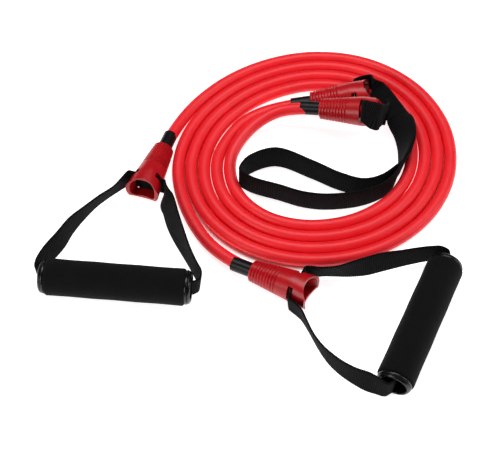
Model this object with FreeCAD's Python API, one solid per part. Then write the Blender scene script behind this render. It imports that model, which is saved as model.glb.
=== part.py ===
# Double tube resistance band: two foam handles, four ribbed connectors and a webbing anchor strap.
# Millimetres. x to the right, y away from the viewer, z up, floor at z = 0.
import math
import os

import FreeCAD
import Part

V = FreeCAD.Vector

# ---------------------------------------------------------------- driving sizes
TUBE_OD = 11.5            # elastic tube
TUBE_BORE = 6.5           # bore of the tube, modelled only where the end plugs sit
BORE_DEPTH = 12.0
STRAND_LEAD = 24.0        # the coil closes in by two strands per turn
COIL_CENTRE = (61.0, 71.0)
COIL_RADIUS = 134.2       # centre line of the outermost turn
COIL_OVAL = (6.6, 26.0)   # second harmonic of the coil outline: size, direction in degrees
COIL_TRIANGLE = (1.0, -45.0)
COIL_STEP = 24.0          # degrees between the points of a turn

CONE_LENGTH = 56.5        # connector, from neck to wing tips
CONE_BODY = 39.2          # neck to the side slots
CONE_NECK_R = 9.6
CONE_END_R = 13.8         # at the slots
WING_HALF = 15.8          # half width over the two wings
MOUTH_HALF_Z = 13.0       # half height of the mouth
RING_COUNT = 9
RING_PITCH = 2.9
RING_DEPTH = 0.7
SLOT_LENGTH = 4.8
WAIST_HALF = 8.0          # half width left between the two slots
SCOOP_R = 18.0            # concave end edge between the wings
SCOOP_DEPTH = 5.0
CAVITY_Z = 10.4           # half height of the webbing chamber
WING_WALL = 3.6           # thickness of a wing at the mouth

SLEEVE_OD = 13.0
SLEEVE_OUT = 19.0         # sleeve outside the neck
SLEEVE_IN = 5.0
PLUG_HEAD_R = 6.35
TUBE_IN = 6.0             # tube end behind the neck face

WEB_WIDTH = 24.6
WEB_THICK = 1.9
CROSS_WIDTH = 19.0        # webbing gathered inside a connector
WEB_BEND = 1.9            # centre line radius where the webbing folds at a slot
BORE_WEB = 21.0           # webbing width inside the grip, where it is cupped

FOAM_OD = 32.0
FOAM_LENGTH = 120.0
FOAM_EDGE = 2.5
CORE_OD = 26.0
CORE_BORE = 23.0
BUSH_RING_OD = 29.5
BUSH_RING = 2.3
BUSH_LIP_OD = 28.5
BUSH_LIP = 2.7
BUSH_SEAT = 1.5           # core tube let into each bushing

RUN_GAP = 0.05            # running fit of the sleeve in the neck bore
FREE_GAP = 0.35           # between faces that move past one another
CUT_GAP = 0.3             # between two lengths of webbing that turn against each other

# ---------------------------------------------------------------- places
SHIFT = V(0.3, 7.0, 0.0)  # moves the base centre of the object to the origin

# neck point, direction to the mouth, roll about it in degrees
LEFT_CONE = ((-80.2, 78.0, 10.2), (-0.300, -0.945, 0.105), 0.0)
RIGHT_CONE = ((2.2, -54.4, 10.2), (0.888, -0.460, 0.105), 0.0)
LEFT_ANCHOR_CONE = ((58.3, 132.9, 12.4), (0.982, 0.030, 0.178), -10.0)
RIGHT_ANCHOR_CONE = ((66.3, 114.0, 25.5), (0.953, -0.243, 0.198), -52.0)

# grip centre and direction of its axis
LEFT_GRIP = ((-114.5, -69.3, 16.0), (0.996, -0.090, 0.0))
RIGHT_GRIP = ((142.5, -108.0, 16.0), (0.427, 0.904, 0.0))


def frame_at(place):
    """Placement with local x from neck to mouth and local z up, then rolled about x."""
    point, direction, roll = place
    x = V(*direction).normalize()
    y = V(0, 0, 1).cross(x).normalize()
    z = x.cross(y)
    a = math.radians(roll)
    y2 = y * math.cos(a) + z * math.sin(a)
    z2 = z * math.cos(a) - y * math.sin(a)
    m = FreeCAD.Matrix(x.x, y2.x, z2.x, point[0],
                       x.y, y2.y, z2.y, point[1],
                       x.z, y2.z, z2.z, point[2],
                       0, 0, 0, 1)
    return FreeCAD.Placement(m)


def placed(shape, placement):
    out = shape.copy()
    out.transformShape(placement.toMatrix(), False)
    return out


def save(name, shape):
    shape = shape.copy()
    shape.translate(SHIFT)
    if shape.ShapeType != "Solid":
        shape = shape.Solids[0] if len(shape.Solids) == 1 else shape
    shape.exportStep("parts/%s.step" % name)
    box = shape.BoundBox
    print("%-28s solids %d valid %s  vol %.0f  x %.1f %.1f  y %.1f %.1f  z %.2f %.2f" % (
        name, len(shape.Solids), shape.isValid(), shape.Volume,
        box.XMin, box.XMax, box.YMin, box.YMax, box.ZMin, box.ZMax))


# ---------------------------------------------------------------- tubes
def coil_outline(theta):
    """Radius of the outermost turn in direction theta."""
    oval, oval_dir = COIL_OVAL
    tri, tri_dir = COIL_TRIANGLE
    return (COIL_RADIUS + oval * math.cos(math.radians(2 * (theta - oval_dir)))
            + tri * math.cos(math.radians(3 * (theta - tri_dir))))


def coil_points(first, count, lag):
    """Control points of one tube's turns, clockwise; lag is how far behind the outline it starts."""
    points = []
    stretch = 1.0 / math.cos(math.radians(COIL_STEP / 2))
    for i in range(count):
        theta = first - COIL_STEP * i
        radius = coil_outline(theta) - STRAND_LEAD * (180.0 - theta + lag) / 360.0
        radius = radius * stretch
        points.append(V(COIL_CENTRE[0] + radius * math.cos(math.radians(theta)),
                        COIL_CENTRE[1] + radius * math.sin(math.radians(theta)),
                        TUBE_OD / 2))
    return points


def cone_point(place, x, y=0.0, z=0.0):
    return frame_at(place).multVec(V(x, y, z))


LEFT_INNER = [V(-22.3, 92.6, 5.75), V(-3.5, 118.5, 5.75)]
RIGHT_INNER = [V(-10.4, 89.6, 9.8), V(10.6, 111.3, 14.4)]


def left_tube_points():
    points = [cone_point(LEFT_CONE, TUBE_IN), cone_point(LEFT_CONE, -38.0)]
    points += coil_points(160.6 - COIL_STEP, 29, 0.0)
    points += LEFT_INNER
    points += [cone_point(LEFT_ANCHOR_CONE, -28.0), cone_point(LEFT_ANCHOR_CONE, TUBE_IN)]
    return points


def right_tube_points():
    points = [cone_point(RIGHT_CONE, TUBE_IN), cone_point(RIGHT_CONE, -33.0)]
    points += coil_points(208.6, 32, 180.0)
    points += RIGHT_INNER
    points += [cone_point(RIGHT_ANCHOR_CONE, -30.0), cone_point(RIGHT_ANCHOR_CONE, TUBE_IN)]
    return points


def path_pieces(points):
    """Straight runs and tangent arcs through the control points."""
    pieces = []
    here = points[0]
    for i in range(1, len(points) - 1):
        a, b, c = points[i - 1], points[i], points[i + 1]
        back, ahead = (a - b), (c - b)
        run = min(back.Length, ahead.Length)
        turn = math.pi - back.getAngle(ahead)
        reach = 0.45 * run
        start = b + back * (reach / back.Length)
        end = b + ahead * (reach / ahead.Length)
        radius = reach / math.tan(turn / 2)
        inward = ((start + end) * 0.5 - b).normalize()
        centre = b + inward * (radius / math.cos(turn / 2))
        pieces.append(("line", here, start, None))
        pieces.append(("arc", start, end, centre))
        here = end
    pieces.append(("line", here, points[-1], None))
    return pieces


def piece_length(piece):
    kind, a, b, centre = piece
    if kind == "line":
        return (b - a).Length
    return (a - centre).Length * (a - centre).getAngle(b - centre)


def along(piece, s):
    """Point at arc length s on one piece."""
    kind, a, b, centre = piece
    if kind == "line":
        return a + (b - a) * (s / (b - a).Length)
    total = (a - centre).getAngle(b - centre)
    part = s / (a - centre).Length
    return centre + ((a - centre) * math.sin(total - part) + (b - centre) * math.sin(part)) * (
        1.0 / math.sin(total))


def edge_between(piece, s0, s1):
    if piece[0] == "line":
        return Part.LineSegment(along(piece, s0), along(piece, s1)).toShape()
    return Part.Arc(along(piece, s0), along(piece, (s0 + s1) / 2), along(piece, s1)).toShape()


def path_wire(pieces, start=0.0, end=None):
    """Wire over the pieces between two arc lengths."""
    edges = []
    done = 0.0
    for piece in pieces:
        length = piece_length(piece)
        s0 = max(0.0, start - done)
        s1 = length if end is None else min(length, end - done)
        if s1 - s0 > 1e-3:
            edges.append(edge_between(piece, s0, s1))
        done += length
    return Part.Wire(edges)


def swept(wire, radius):
    first = wire.Edges[0]
    at = first.valueAt(first.FirstParameter)
    direction = first.tangentAt(first.FirstParameter)
    circle = Part.Wire([Part.Circle(at, direction, radius).toShape()])
    solid = wire.makePipeShell([circle], True, False)
    return solid if solid.ShapeType == "Solid" else Part.Solid(solid)


def tube_solid(points, name):
    pieces = path_pieces(points)
    radii = [(p[1] - p[3]).Length for p in pieces if p[0] == "arc"]
    total = sum(piece_length(p) for p in pieces)
    solid = swept(path_wire(pieces), TUBE_OD / 2)
    section = math.pi * TUBE_OD ** 2 / 4
    print("%s length %.0f, smallest bends %s, volume / (section x length) %.4f" % (
        name, total, ["%.0f" % r for r in sorted(radii)[:4]], solid.Volume / (section * total)))
    for at, towards in ((points[0], points[1]), (points[-1], points[-2])):
        bore = Part.makeCylinder(TUBE_BORE / 2, BORE_DEPTH, at, towards - at)
        solid = solid.cut(bore)
    return solid


def sleeve_solid(points):
    """Sleeve over the first part of a tube's path; points start at the tube end."""
    pieces = path_pieces(points)
    start = TUBE_IN - SLEEVE_IN
    end = TUBE_IN + SLEEVE_OUT
    outer = swept(path_wire(pieces, start, end), SLEEVE_OD / 2)
    inner = swept(path_wire(pieces, start - 0.5, end + 0.5), TUBE_OD / 2)
    return outer.cut(inner)


def plug_solid(at, outward):
    """Stem in the tube's bore and a long stop behind the webbing."""
    d = V(outward.x, outward.y, outward.z).normalize()
    stem = Part.makeCylinder(TUBE_BORE / 2, BORE_DEPTH, at - d * BORE_DEPTH, d)
    length = SLOT_X - WEB_THICK / 2 - 0.5 - TUBE_IN
    head = Part.makeCylinder(PLUG_HEAD_R, length - 1.2, at, d)
    tip = Part.makeCone(PLUG_HEAD_R, PLUG_HEAD_R - 1.2, 1.2, at + d * (length - 1.2), d)
    return stem.fuse([head, tip]).removeSplitter()


# ---------------------------------------------------------------- connector
def ellipse_wire(x, half_y, half_z):
    ellipse = Part.Ellipse(V(x, half_y, 0), V(x, 0, half_z), V(x, 0, 0))
    return Part.Wire([ellipse.toShape()])


def chamber_section(x, half_y, half_z, corner):
    """Closed wire in the plane at x: a rectangle with round corners, four lines and four arcs."""
    cy, cz = half_y - corner, half_z - corner
    k = corner * math.sqrt(0.5)
    edges = []
    corners = [(1, 1), (-1, 1), (-1, -1), (1, -1)]
    for i, (sy, sz) in enumerate(corners):
        flat = V(x, sy * half_y, sz * cz)
        top = V(x, sy * cy, sz * half_z)
        mid = V(x, sy * (cy + k), sz * (cz + k))
        first, last = (flat, top) if sy * sz > 0 else (top, flat)
        edges.append(Part.Arc(first, mid, last).toShape())
        ny, nz = corners[(i + 1) % 4]
        if sy * sz > 0:
            following = V(x, ny * cy, nz * half_z)
        else:
            following = V(x, ny * half_y, nz * cz)
        edges.append(Part.LineSegment(last, following).toShape())
    return Part.Wire(edges)


def cone_radius(x):
    return CONE_NECK_R + (CONE_END_R - CONE_NECK_R) * x / CONE_BODY


def ringed_body():
    """Body of revolution from the neck to the slots, with shallow rings on its first part."""
    profile = [(0.0, cone_radius(0.0) - 0.7), (0.7, cone_radius(0.7))]
    for i in range(RING_COUNT):
        x = 2.6 + RING_PITCH * i
        profile += [(x - 0.75, cone_radius(x - 0.75)), (x, cone_radius(x) - RING_DEPTH),
                    (x + 0.75, cone_radius(x + 0.75))]
    profile += [(CONE_BODY, CONE_END_R), (CONE_BODY, 0.0), (0.0, 0.0)]
    points = [V(x, r, 0) for x, r in profile]
    face = Part.Face(Part.makePolygon(points + [points[0]]))
    return face.revolve(V(0, 0, 0), V(1, 0, 0), 360)


def mouth_flare():
    """Round at the slots, a wide oval at the wings."""
    circle = Part.Circle(V(CONE_BODY, 0, 0), V(1, 0, 0), CONE_END_R)
    circle.XAxis = V(0, 1, 0)
    return Part.makeLoft([Part.Wire([circle.toShape()]),
                          ellipse_wire(CONE_LENGTH, WING_HALF, MOUTH_HALF_Z)], True, True)


def connector_solid():
    body = ringed_body().fuse(mouth_flare())
    step = SLEEVE_IN + 0.4
    sleeve_bore = Part.makeCylinder(SLEEVE_OD / 2 + RUN_GAP, step + 1.0, V(-1, 0, 0), V(1, 0, 0))
    core_bore = Part.makeCylinder(PLUG_HEAD_R + FREE_GAP, CONE_BODY - step, V(step, 0, 0), V(1, 0, 0))
    chamber = Part.makeLoft([chamber_section(CONE_BODY - 1.5, 9.5, CAVITY_Z, 2.0),
                             chamber_section(CONE_LENGTH + 1.0, WING_HALF - WING_WALL, CAVITY_Z, CAVITY_Z - 1.8)],
                            True, True)
    body = body.cut(sleeve_bore.fuse(core_bore)).cut(chamber)
    for side in (1, -1):
        near = WAIST_HALF if side > 0 else -WAIST_HALF - 20
        body = body.cut(Part.makeBox(SLOT_LENGTH, 20, 60, V(CONE_BODY, near, -30)))
    scoop = Part.makeCylinder(SCOOP_R, 60, V(CONE_LENGTH - SCOOP_DEPTH + SCOOP_R, 0, -30), V(0, 0, 1))
    return body.cut(scoop)


SLOT_X = CONE_BODY + SLOT_LENGTH - WEB_THICK / 2     # webbing pulled against the wings
SLOT_Y = WING_HALF + FREE_GAP                        # where the folded webbing begins


def crossing_solid():
    half = SLOT_Y - CUT_GAP
    return Part.makeBox(WEB_THICK, 2 * half, CROSS_WIDTH, V(SLOT_X - WEB_THICK / 2, -half, -CROSS_WIDTH / 2))


# ---------------------------------------------------------------- webbing
def catmull(p, steps):
    """Smooth points through a list of tuples, with the given number of steps per gap."""
    out = []
    n = len(p)
    for i in range(n - 1):
        p0 = p[i - 1] if i > 0 else tuple(2 * a - b for a, b in zip(p[0], p[1]))
        p1, p2 = p[i], p[i + 1]
        p3 = p[i + 2] if i + 2 < n else tuple(2 * a - b for a, b in zip(p[-1], p[-2]))
        t01 = math.sqrt(math.dist(p0[:3], p1[:3])) or 1.0
        t12 = math.sqrt(math.dist(p1[:3], p2[:3])) or 1.0
        t23 = math.sqrt(math.dist(p2[:3], p3[:3])) or 1.0
        for k in range(steps[i] if isinstance(steps, list) else steps):
            u = k / float(steps[i] if isinstance(steps, list) else steps)
            row = []
            for a, b, c, d in zip(p0, p1, p2, p3):
                m1 = (c - b) + t12 * ((b - a) / t01 - (c - a) / (t01 + t12))
                m2 = (c - b) + t12 * ((d - c) / t23 - (d - b) / (t12 + t23))
                h = (2 * u ** 3 - 3 * u ** 2 + 1, u ** 3 - 2 * u ** 2 + u, -2 * u ** 3 + 3 * u ** 2,
                     u ** 3 - u ** 2)
                row.append(h[0] * b + h[1] * m1 + h[2] * c + h[3] * m2)
            out.append(tuple(row))
    out.append(tuple(p[-1]))
    return out


def ribbon(stations, ends=None):
    """Solid strip: each station is x, y, z, width direction x, y, z, width, thickness."""
    wires = []
    n = len(stations)
    for i, s in enumerate(stations):
        at = V(*s[:3])
        before = V(*stations[max(i - 1, 0)][:3])
        after = V(*stations[min(i + 1, n - 1)][:3])
        t = (after - before).normalize()
        if ends and i == 0 and ends[0]:
            t = V(ends[0].x, ends[0].y, ends[0].z).normalize()
        if ends and i == n - 1 and ends[1]:
            t = V(ends[1].x, ends[1].y, ends[1].z).normalize()
        w = V(*s[3:6])
        w = (w - t * w.dot(t)).normalize()
        across = w * (s[6] / 2)
        through = t.cross(w) * (s[7] / 2)
        c = [at + across + through, at - across + through, at - across - through, at + across - through]
        wires.append(Part.makePolygon(c + [c[0]]))
    return Part.makeLoft(wires, True, True)


def slot_fold(place, side, turn):
    """Stations where the webbing leaves a side slot and folds by turn degrees towards the mouth."""
    frame = frame_at(place)
    up = frame.Rotation.multVec(V(0, 0, 1))
    out = []
    for share in range(4):
        a = math.radians(turn * share / 3)
        x = SLOT_X + WEB_BEND * (1 - math.cos(a))
        y = side * (SLOT_Y + WEB_BEND * math.sin(a))
        p = frame.multVec(V(x, y, 0))
        out.append((p.x, p.y, p.z, up.x, up.y, up.z, CROSS_WIDTH, WEB_THICK))
    return out


def grip_point(grip, s):
    centre, axis = grip
    return V(*centre) + V(*axis).normalize() * s


GRIP_REACH = FOAM_LENGTH / 2 + BUSH_RING + BUSH_LIP   # grip centre to the lip of its end ring


def bore_stations(grip, direction):
    """Webbing through the grip, from the end it enters; the middle is lapped and sewn."""
    out = []
    marks = [(-GRIP_REACH - 1.2, 1), (-GRIP_REACH + 8, 1), (-24, 1), (-23, 2), (23, 2), (24, 1),
             (GRIP_REACH - 8, 1), (GRIP_REACH + 1.2, 1)]
    for s, layers in marks:
        p = grip_point(grip, s * direction)
        out.append((p.x, p.y, p.z, 0, 0, 1, BORE_WEB, WEB_THICK * layers))
    return out


def station(x, y, z, wx, wy, wz, width=WEB_WIDTH):
    return (x, y, z, wx, wy, wz, width, WEB_THICK)


def by_grip(grip, end, beyond, aside, z, wx, wy, wz, width):
    """Station measured from the lip at one end of a grip: along its axis and to the axis's left."""
    axis = V(*grip[1]).normalize()
    p = grip_point(grip, end * (GRIP_REACH + beyond)) + V(-axis.y, axis.x, 0) * aside
    return station(p.x, p.y, z, wx, wy, wz, width)


# legs listed from the connector to the grip; webbing leaves each slot by a fold of so many degrees
LEFT_OUTER_TURN, LEFT_INNER_TURN = 58.0, 78.0
RIGHT_UPPER_TURN, RIGHT_LOWER_TURN = 60.0, 54.0
LEFT_OUTER_LEG = [
    station(-123.2, 27.7, 14.7, 0.21, -0.23, 1, 23.5),
    station(-136.2, 15.7, 14.9, 0.21, -0.19, 1),
    station(-147.5, 2.7, 15.0, 0.13, -0.10, 1),
    station(-157.7, -10.7, 15.2, 0, 0.02, 1),
    station(-165.7, -26.1, 15.3, -0.11, 0.07, 1),
    station(-175.4, -41.0, 15.4, -0.12, 0.05, 1),
    by_grip(LEFT_GRIP, -1, 3.2, 10.5, 15.7, -0.06, 0.02, 1, 23.2),
    by_grip(LEFT_GRIP, -1, 3.4, 3.6, 16.0, -0.03, 0, 1, 22.0),
]
LEFT_INNER_LEG = [
    station(-75.4, 18.5, 13.7, 0.46, 0.17, 1),
    station(-72.7, 11.4, 13.8, 0.49, 0.16, 1),
    station(-68.9, -2.3, 14.0, 0.48, 0.17, 1),
    station(-64.0, -16.0, 14.2, 0.38, 0.15, 1),
    station(-58.6, -29.1, 14.4, 0.24, 0.11, 1),
    station(-53.2, -41.5, 14.6, 0.13, 0.07, 1),
    by_grip(LEFT_GRIP, 1, 0.5, 20.8, 14.9, 0.1, 0.04, 1, 24.0),
    by_grip(LEFT_GRIP, 1, 5.9, 10.7, 15.5, 0.14, 0, 1, 23.0),
    by_grip(LEFT_GRIP, 1, 5.9, 3.7, 16.0, 0.08, 0, 1, 21.8),
]
RIGHT_UPPER_LEG = [
    station(61.5, -58.4, 14.8, -0.03, -0.22, 1, 23.0),
    station(73.2, -57.9, 14.9, 0, -0.20, 1),
    station(86.8, -55.8, 15.0, 0, 0, 1),
    station(100.9, -52.7, 15.1, -0.06, 0.15, 1),
    station(114.6, -48.8, 15.3, -0.05, 0.16, 1),
    station(128.4, -45.8, 15.4, -0.03, 0.07, 1),
    station(142.3, -42.7, 15.5, -0.02, 0.02, 1),
    by_grip(RIGHT_GRIP, 1, 1.7, 17.0, 15.6, 0, 0, 1, 23.8),
    by_grip(RIGHT_GRIP, 1, 5.7, 9.0, 15.8, 0, 0, 1, 22.8),
    by_grip(RIGHT_GRIP, 1, 4.8, 2.1, 16.0, 0, 0, 1, 22.0),
]
RIGHT_LOWER_LEG = [
    station(42.5, -99.6, 14.8, -0.09, -0.04, 1, 23.0),
    station(48.2, -111.4, 14.9, -0.15, -0.07, 1),
    station(53.4, -123.3, 15.0, -0.17, -0.07, 1),
    station(59.4, -134.0, 15.1, -0.12, -0.06, 1),
    station(66.6, -143.2, 15.3, -0.04, -0.03, 1),
    station(75.1, -151.1, 15.4, 0, 0.02, 1),
    station(84.7, -157.7, 15.5, 0.04, 0.08, 1),
    by_grip(RIGHT_GRIP, -1, 4.9, 19.6, 15.6, 0.08, 0.18, 1, 24.6),
    by_grip(RIGHT_GRIP, -1, 5.1, 11.1, 15.8, 0.06, 0.12, 1, 23.5),
    by_grip(RIGHT_GRIP, -1, 5.2, 3.5, 15.9, 0.02, 0.04, 1, 22.0),
]


def handle_web(place, grip, first_side, first_turn, first_leg, second_turn, second_leg, direction):
    """Loop of webbing from one slot, through the grip and back to the other slot."""
    frame = frame_at(place)
    out_y = frame.Rotation.multVec(V(0, 1, 0))
    start = slot_fold(place, first_side, first_turn)
    finish = slot_fold(place, -first_side, second_turn)[::-1]
    inside = bore_stations(grip, direction)
    go = catmull([start[-1]] + first_leg + [inside[0]], 3)
    back = catmull([inside[-1]] + second_leg[::-1] + [finish[0]], 3)
    stations = start[:-1] + go[:-1] + inside + back[1:] + finish[1:]
    return ribbon(stations, (out_y * first_side, out_y * first_side))


# ---------------------------------------------------------------- grips
def ring_solid(profile, centre, axis):
    """Revolve points (distance along the axis, radius) about the grip axis."""
    points = [V(a, r, 0) for a, r in profile]
    face = Part.Face(Part.makePolygon(points + [points[0]]))
    solid = face.revolve(V(0, 0, 0), V(1, 0, 0), 360)
    return placed(solid, frame_at((centre, axis, 0.0)))


def foam_solid(grip):
    centre, axis = grip
    half, r, e = FOAM_LENGTH / 2, FOAM_OD / 2, FOAM_EDGE
    k = e * (1 - math.sqrt(0.5))
    profile = [(-half, CORE_OD / 2), (-half, r - e), (-half + k, r - k), (-half + e, r),
               (half - e, r), (half - k, r - k), (half, r - e), (half, CORE_OD / 2)]
    return ring_solid(profile, centre, axis)


def core_solid(grip):
    centre, axis = grip
    half = FOAM_LENGTH / 2 + BUSH_SEAT
    profile = [(-half, CORE_BORE / 2), (-half, CORE_OD / 2), (half, CORE_OD / 2), (half, CORE_BORE / 2)]
    return ring_solid(profile, centre, axis)


def bushing_solid(grip, side):
    """Stepped ring against the foam with a rounded lip, seated on the core tube."""
    centre, axis = grip
    base = FOAM_LENGTH / 2
    a1, a2 = base + BUSH_RING, base + BUSH_RING + BUSH_LIP
    bore, seat = CORE_BORE / 2, CORE_OD / 2
    ring, lip = BUSH_RING_OD / 2, BUSH_LIP_OD / 2
    profile = [(base, seat), (base, ring - 0.4), (base + 0.4, ring), (a1 - 0.4, ring), (a1, ring - 0.4),
               (a1, lip - 0.6), (a1 + 0.5, lip), (a1 + 1.3, lip - 0.2), (a2 - 0.5, lip - 0.9),
               (a2, lip - 1.7), (a2, bore + 1.0), (a2 - 0.4, bore + 0.3), (a2 - 1.2, bore),
               (base + BUSH_SEAT, bore), (base + BUSH_SEAT, seat)]
    return ring_solid([(side * a, r) for a, r in profile], centre, axis)


# ---------------------------------------------------------------- anchor strap
LAYER = WEB_THICK + 0.2                  # spacing of webbing layers that lie on one another
SEAM = V(138.4, 111.2, 16.5)             # where the loop begins, on its middle surface
SEAM_AHEAD = V(0.580, -0.803, -0.136)    # along the strap, away from the connectors
SEAM_WIDTH_DIR = V(0.792, 0.590, -0.107)
READ_CONE = 56.5                         # connector length at which the stations by a mouth were read


def web(x, y, z, wx, wy, wz, width=WEB_WIDTH):
    return (x, y, z, wx, wy, wz, width, WEB_THICK)


def seam_station(layer, back=0.0):
    """Webbing at the seam; layers are counted upwards from the middle surface."""
    p = SEAM + SEAM_AHEAD * (-back) + SEAM_AHEAD.cross(SEAM_WIDTH_DIR).normalize() * (LAYER * layer)
    w = SEAM_WIDTH_DIR
    return web(p.x, p.y, p.z, w.x, w.y, w.z)


def cone_web(place, x, y, z, wy=0.0, width=CROSS_WIDTH):
    """Webbing station in a connector's own frame; wy leans its width towards local y."""
    frame = frame_at(place)
    p = frame.multVec(V(x, y, z))
    w = frame.Rotation.multVec(V(0, wy, 1))
    return web(p.x, p.y, p.z, w.x, w.y, w.z, width)


def past_mouth(place, s):
    """A station by a connector's mouth, moved with the mouth when the connector's length changes."""
    p = V(*s[:3]) + V(*place[1]).normalize() * (CONE_LENGTH - READ_CONE)
    return (p.x, p.y, p.z) + tuple(s[3:])


def fold_round_wing(place, side, rise, width):
    """From a side slot's mouth round the fold, in order outwards."""
    out = []
    for angle in (0, 30, 60, 90):
        a = math.radians(angle)
        x = SLOT_X + WEB_BEND * (1 - math.cos(a))
        y = side * (SLOT_Y + WEB_BEND * math.sin(a))
        out.append(cone_web(place, x, y, rise, 0.0, width))
    return out


def anchor_head():
    """Webbing from the loop through both anchor connectors in turn, sewn down on itself at the end."""
    c, d = LEFT_ANCHOR_CONE, RIGHT_ANCHOR_CONE
    far = fold_round_wing(c, 1, 3.0, 16.0)
    near = fold_round_wing(d, -1, 0.0, CROSS_WIDTH)
    go = [
        seam_station(0.5, 0.95),
        seam_station(0.6, 3.0),
        web(133.4, 118.0, 18.3, 0.72, 0.68, 0.14),
        web(128.0, 125.1, 20.8, 0.62, 0.76, 0.22),
        web(122.1, 131.6, 23.2, 0.35, 0.83, 0.42),
        web(116.9, 136.6, 25.0, 0.15, 0.78, 0.60),
        cone_web(c, 60.2, 13.5, 3.6, 0.35, 23.0),
        cone_web(c, 57.0, 17.8, 3.4, 0.15, 21.0),
        cone_web(c, 51.0, 18.7, 3.2, 0.05, 18.0),
        far[-1],
    ]
    through = [
        far[0],
        cone_web(c, SLOT_X, 9.5, 0.8, 0.0, 17.0),
        cone_web(c, SLOT_X, 0.0, 0.0, 0.0, CROSS_WIDTH),
        cone_web(c, SLOT_X, -8.5, 0.0, 0.0, 16.0),
        cone_web(c, SLOT_X - 0.2, -14.0, 0.0, 0.0, 10.0),
        cone_web(c, SLOT_X + 1.3, -16.6, 0.0, 0.0, 9.0),
        cone_web(d, 41.0, 16.2, 0.4, 0.0, 9.0),
        cone_web(d, SLOT_X - 0.7, 13.0, 0.2, 0.0, 9.0),
        cone_web(d, SLOT_X, 8.0, 0.0, 0.0, 16.0),
        cone_web(d, SLOT_X, 0.0, 0.0, 0.0, CROSS_WIDTH),
        near[0],
    ]
    back = [
        near[-1],
        cone_web(d, 51.5, -18.4, -2.6, 0.0, 23.0),
        past_mouth(d, cone_web(d, 57.6, -17.3, -4.0, 0.0, WEB_WIDTH)),
        past_mouth(d, cone_web(d, 60.0, -12.0, -4.4, 0.0, WEB_WIDTH)),
        past_mouth(d, cone_web(d, 60.6, -3.0, -3.6, 0.0, WEB_WIDTH)),
        past_mouth(d, cone_web(d, 61.2, 6.0, -1.2, 0.0, WEB_WIDTH)),
        past_mouth(d, web(125.6, 109.6, 25.6, 0.22, 0.86, 0.46)),
        past_mouth(d, web(127.6, 112.6, 22.0, 0.32, 0.92, 0.24)),
        past_mouth(d, web(129.3, 112.5, 21.0, 0.38, 0.91, 0.14, 21.0)),
    ]
    stations = catmull(go, [1] + [3] * (len(go) - 2))[:-1] + far[::-1] + catmull(through, 2)[1:-1] + near + catmull(back, 3)[1:]
    return ribbon(stations, (SEAM_AHEAD * -1, None))


# middle line of the doubled strap from the seam to where its two layers part
STRAP_DOUBLED = [
    web(142.0, 104.8, 15.6, 0.80, 0.45, 0.34),
    web(144.6, 96.0, 14.8, 0.70, 0.17, 0.68),
    web(145.3, 84.0, 14.0, 0.54, 0.05, 0.84),
    web(143.8, 73.1, 13.4, 0.38, 0.0, 0.92),
    web(140.3, 60.5, 12.9, 0.20, 0.0, 0.98),
]
STRAP_LOWER = [
    web(127.0, 35.5, 12.7, 0, 0, 1),
    web(104.0, 21.8, 12.7, 0, 0, 1),
    web(70.0, 16.6, 12.7, 0, 0, 1),
    web(47.8, 19.2, 12.7, 0, 0, 1),
    web(26.0, 27.0, 12.7, 0, 0, 1),
    web(4.0, 34.4, 12.7, 0, 0, 1),
]
STRAP_TIP = [
    web(-4.8, 39.6, 12.7, 0, 0.02, 1),
    web(-9.2, 43.6, 12.8, 0, 0.04, 1),
    web(-7.8, 49.2, 12.9, 0, 0.08, 1),
]
STRAP_UPPER = [
    web(0.0, 58.4, 12.9, 0, 0.14, 1),
    web(23.8, 67.0, 12.9, 0, 0.14, 1),
    web(56.6, 52.6, 12.9, 0, 0.12, 1),
    web(81.0, 39.4, 12.8, 0, 0.08, 1),
    web(101.6, 33.2, 12.7, 0, 0.04, 1),
    web(117.5, 37.4, 12.7, 0, 0, 1),
    web(131.0, 47.5, 12.7, 0, 0, 1),
]


def offset_station(before, s, after, amount):
    """Move a station along the webbing's normal."""
    t = (V(*after[:3]) - V(*before[:3])).normalize()
    w = V(*s[3:6])
    w = (w - t * w.dot(t)).normalize()
    n = t.cross(w)
    p = V(*s[:3]) + n * amount
    return (p.x, p.y, p.z) + tuple(s[3:])


def anchor_loop():
    """Both layers from the seam, parting into one long loop."""
    start = seam_station(0.0)
    line = [start] + STRAP_DOUBLED
    outer, inner = [], []
    for i, s in enumerate(line):
        before = line[i - 1] if i else tuple(a - b for a, b in zip(s[:3], tuple(SEAM_AHEAD * 10))) + s[3:]
        after = line[i + 1] if i + 1 < len(line) else STRAP_LOWER[0]
        outer.append(offset_station(before, s, after, LAYER / 2))
        inner.append(offset_station(before, s, after, -LAYER / 2))
    stations = catmull(outer + STRAP_LOWER + STRAP_TIP + STRAP_UPPER + inner[::-1], 3)
    return ribbon(stations, (SEAM_AHEAD, SEAM_AHEAD * -1))


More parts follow.
